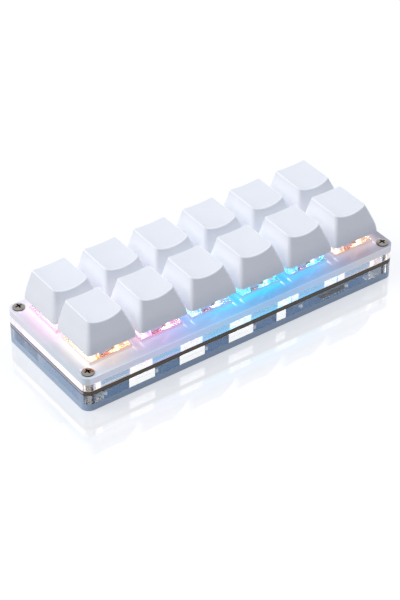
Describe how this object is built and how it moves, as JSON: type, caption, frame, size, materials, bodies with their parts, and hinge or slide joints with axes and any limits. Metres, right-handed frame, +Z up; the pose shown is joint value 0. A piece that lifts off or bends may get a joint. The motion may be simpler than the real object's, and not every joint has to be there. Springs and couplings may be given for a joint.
{
  "type": "keypad",
  "caption": "Compact lit mechanical keypad: dished white keycaps on clear switches, in a sandwich case of acrylic sheets round a circuit board, with a USB-C inlet.",
  "frame": {"origin": "middle of the underside of the bottom sheet, where it lies on the desk", "axes": "+X along the long side to the user's right, +Y to the far side with the inlet, +Z up"},
  "size_m": [0.1212, 0.0454, 0.027],
  "materials": {
    "clear_acrylic": "polished clear sheet",
    "milky_acrylic": "polished milky white sheet",
    "tinted_acrylic": "polished clear sheet, faint blue-grey",
    "board": "white solder mask over brown laminate",
    "nickel_steel": "nickel plated",
    "milky_housing": "moulded translucent",
    "clear_housing": "moulded clear",
    "slider_red": "moulded",
    "keycap_white": "fine matte, moulded",
    "spring_steel": "drawn wire",
    "contact_brass": "stamped",
    "solder_tin": "bright",
    "led_package": "white package, clear lens",
    "chip_black": "moulded",
    "lead_tin": "tinned",
    "capacitor_tan": "ceramic",
    "inlet_steel": "drawn shell"
  },
  "bodies": {
    "base": {"switch_plate": "milky_acrylic", "guide_plate": "clear_acrylic", "circuit_board": "board", "spacer_plate": "clear_acrylic", "bottom_plate": "tinted_acrylic", "case_screws": "nickel_steel", "case_nuts": "nickel_steel", "switch_lower_housings": "milky_housing", "switch_covers": "clear_housing", "fixed_contacts": "contact_brass", "moving_contacts": "contact_brass", "solder_joints": "solder_tin", "rgb_leds": "led_package", "diodes": "chip_black", "mcu_chip": "chip_black", "mcu_leads": "lead_tin", "capacitors": "capacitor_tan", "resistors": "chip_black", "usb_shell": "inlet_steel", "usb_tongue": "chip_black", "return_spring_1": "spring_steel", "return_spring_2": "spring_steel", "return_spring_3": "spring_steel", "return_spring_4": "spring_steel", "return_spring_5": "spring_steel", "return_spring_6": "spring_steel", "return_spring_7": "spring_steel", "return_spring_8": "spring_steel", "return_spring_9": "spring_steel", "return_spring_10": "spring_steel", "return_spring_11": "spring_steel", "return_spring_12": "spring_steel"},
    "key_1": {"keycap_1": "keycap_white", "slider_1": "slider_red"},
    "key_2": {"keycap_2": "keycap_white", "slider_2": "slider_red"},
    "key_3": {"keycap_3": "keycap_white", "slider_3": "slider_red"},
    "key_4": {"keycap_4": "keycap_white", "slider_4": "slider_red"},
    "key_5": {"keycap_5": "keycap_white", "slider_5": "slider_red"},
    "key_6": {"keycap_6": "keycap_white", "slider_6": "slider_red"},
    "key_7": {"keycap_7": "keycap_white", "slider_7": "slider_red"},
    "key_8": {"keycap_8": "keycap_white", "slider_8": "slider_red"},
    "key_9": {"keycap_9": "keycap_white", "slider_9": "slider_red"},
    "key_10": {"keycap_10": "keycap_white", "slider_10": "slider_red"},
    "key_11": {"keycap_11": "keycap_white", "slider_11": "slider_red"},
    "key_12": {"keycap_12": "keycap_white", "slider_12": "slider_red"}
  },
  "joints": [
    {"name": "key_1_press", "type": "slide", "parent": "base", "child": "key_1", "axis": [0, 0, -1], "range_m": [0, 0.004], "stiffness_N_per_m": 75, "springref_m": -0.0043, "deforming": ["return_spring_1"]},
    {"name": "key_2_press", "type": "slide", "parent": "base", "child": "key_2", "axis": [0, 0, -1], "range_m": [0, 0.004], "stiffness_N_per_m": 75, "springref_m": -0.0043, "deforming": ["return_spring_2"]},
    {"name": "key_3_press", "type": "slide", "parent": "base", "child": "key_3", "axis": [0, 0, -1], "range_m": [0, 0.004], "stiffness_N_per_m": 75, "springref_m": -0.0043, "deforming": ["return_spring_3"]},
    {"name": "key_4_press", "type": "slide", "parent": "base", "child": "key_4", "axis": [0, 0, -1], "range_m": [0, 0.004], "stiffness_N_per_m": 75, "springref_m": -0.0043, "deforming": ["return_spring_4"]},
    {"name": "key_5_press", "type": "slide", "parent": "base", "child": "key_5", "axis": [0, 0, -1], "range_m": [0, 0.004], "stiffness_N_per_m": 75, "springref_m": -0.0043, "deforming": ["return_spring_5"]},
    {"name": "key_6_press", "type": "slide", "parent": "base", "child": "key_6", "axis": [0, 0, -1], "range_m": [0, 0.004], "stiffness_N_per_m": 75, "springref_m": -0.0043, "deforming": ["return_spring_6"]},
    {"name": "key_7_press", "type": "slide", "parent": "base", "child": "key_7", "axis": [0, 0, -1], "range_m": [0, 0.004], "stiffness_N_per_m": 75, "springref_m": -0.0043, "deforming": ["return_spring_7"]},
    {"name": "key_8_press", "type": "slide", "parent": "base", "child": "key_8", "axis": [0, 0, -1], "range_m": [0, 0.004], "stiffness_N_per_m": 75, "springref_m": -0.0043, "deforming": ["return_spring_8"]},
    {"name": "key_9_press", "type": "slide", "parent": "base", "child": "key_9", "axis": [0, 0, -1], "range_m": [0, 0.004], "stiffness_N_per_m": 75, "springref_m": -0.0043, "deforming": ["return_spring_9"]},
    {"name": "key_10_press", "type": "slide", "parent": "base", "child": "key_10", "axis": [0, 0, -1], "range_m": [0, 0.004], "stiffness_N_per_m": 75, "springref_m": -0.0043, "deforming": ["return_spring_10"]},
    {"name": "key_11_press", "type": "slide", "parent": "base", "child": "key_11", "axis": [0, 0, -1], "range_m": [0, 0.004], "stiffness_N_per_m": 75, "springref_m": -0.0043, "deforming": ["return_spring_11"]},
    {"name": "key_12_press", "type": "slide", "parent": "base", "child": "key_12", "axis": [0, 0, -1], "range_m": [0, 0.004], "stiffness_N_per_m": 75, "springref_m": -0.0043, "deforming": ["return_spring_12"]}
  ]
}
